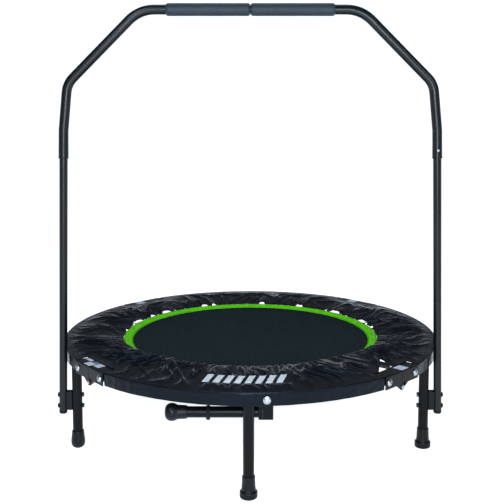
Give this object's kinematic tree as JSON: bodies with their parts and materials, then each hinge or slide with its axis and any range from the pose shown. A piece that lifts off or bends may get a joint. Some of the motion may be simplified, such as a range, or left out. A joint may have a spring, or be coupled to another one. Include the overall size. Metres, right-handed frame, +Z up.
{
  "type": "mini trampoline",
  "caption": "Round folding-frame fitness trampoline with a sprung mat, gathered safety skirt, rubber-footed legs and a tall U-shaped handlebar with foam grips.",
  "frame": {"origin": "on the floor under the centre of the frame ring", "axes": "+Z up, -Y towards the front leg and the handlebar side, +X to the right seen from the front"},
  "size_m": [0.998, 1.0024, 1.1059],
  "materials": {
    "black_steel": "satin black powder coat",
    "bolt_steel": "zinc-plated steel",
    "rubber": "moulded black rubber",
    "foam": "fine-celled black foam",
    "mat_fabric": "woven polypropylene, dark slate",
    "border_webbing": "lime green woven webbing with stitching",
    "skirt_nylon": "shiny black-navy coated nylon",
    "spring_steel": "dark coated spring wire"
  },
  "bodies": {
    "frame": {"foam_grip_left": "foam", "foam_grip_right": "foam", "folding_leg_bolt": "bolt_steel", "foot_back_left": "rubber", "foot_back_right": "rubber", "foot_front": "rubber", "foot_left": "rubber", "foot_right": "rubber", "frame_arc_back": "black_steel", "frame_arc_front": "black_steel", "frame_arc_left": "black_steel", "frame_arc_right": "black_steel", "handlebar_joiner": "black_steel", "handlebar_post_left": "black_steel", "handlebar_post_right": "black_steel", "handlebar_upper_left": "black_steel", "handlebar_upper_right": "black_steel", "hinge_bolt_back_left_a": "bolt_steel", "hinge_bolt_back_left_b": "bolt_steel", "hinge_bolt_back_right_a": "bolt_steel", "hinge_bolt_back_right_b": "bolt_steel", "hinge_bolt_front_left_a": "bolt_steel", "hinge_bolt_front_left_b": "bolt_steel", "hinge_bolt_front_right_a": "bolt_steel", "hinge_bolt_front_right_b": "bolt_steel", "hinge_bracket_inner_back_left": "black_steel", "hinge_bracket_inner_back_right": "black_steel", "hinge_bracket_inner_front_left": "black_steel", "hinge_bracket_inner_front_right": "black_steel", "hinge_bracket_outer_back_left": "black_steel", "hinge_bracket_outer_back_right": "black_steel", "hinge_bracket_outer_front_left": "black_steel", "hinge_bracket_outer_front_right": "black_steel", "hinge_pin_back_left": "bolt_steel", "hinge_pin_back_right": "bolt_steel", "hinge_pin_front_left": "bolt_steel", "hinge_pin_front_right": "bolt_steel", "leg_back_left": "black_steel", "leg_back_right": "black_steel", "leg_front": "black_steel", "leg_left": "black_steel", "leg_right": "black_steel", "leg_spigot_back_left": "black_steel", "leg_spigot_back_right": "black_steel", "leg_spigot_front": "black_steel", "leg_spigot_left": "black_steel", "leg_spigot_right": "black_steel", "post_bolt_lower_left": "bolt_steel", "post_bolt_lower_right": "bolt_steel", "post_bolt_upper_left": "bolt_steel", "post_bolt_upper_right": "bolt_steel", "post_cap_left": "rubber", "post_cap_right": "rubber", "safety_skirt": "skirt_nylon", "spring_ring": "spring_steel"},
    "mat_panel": {"mat": "mat_fabric", "mat_border": "border_webbing"},
    "stowed_leg": {"folding_leg": "black_steel", "foot_folding": "rubber", "folding_leg_bracket": "black_steel"}
  },
  "joints": [
    {"name": "mat_bounce", "type": "slide", "parent": "frame", "child": "mat_panel", "axis": [0, 0, 1], "range_m": [-0.06, 0], "stiffness_N_per_m": 8000},
    {"name": "stowed_leg_hinge", "type": "hinge", "parent": "frame", "child": "stowed_leg", "pos_m": [0.036, -0.4544, 0.228], "axis": [0, -1, 0], "range_deg": [0, 90]}
  ]
}
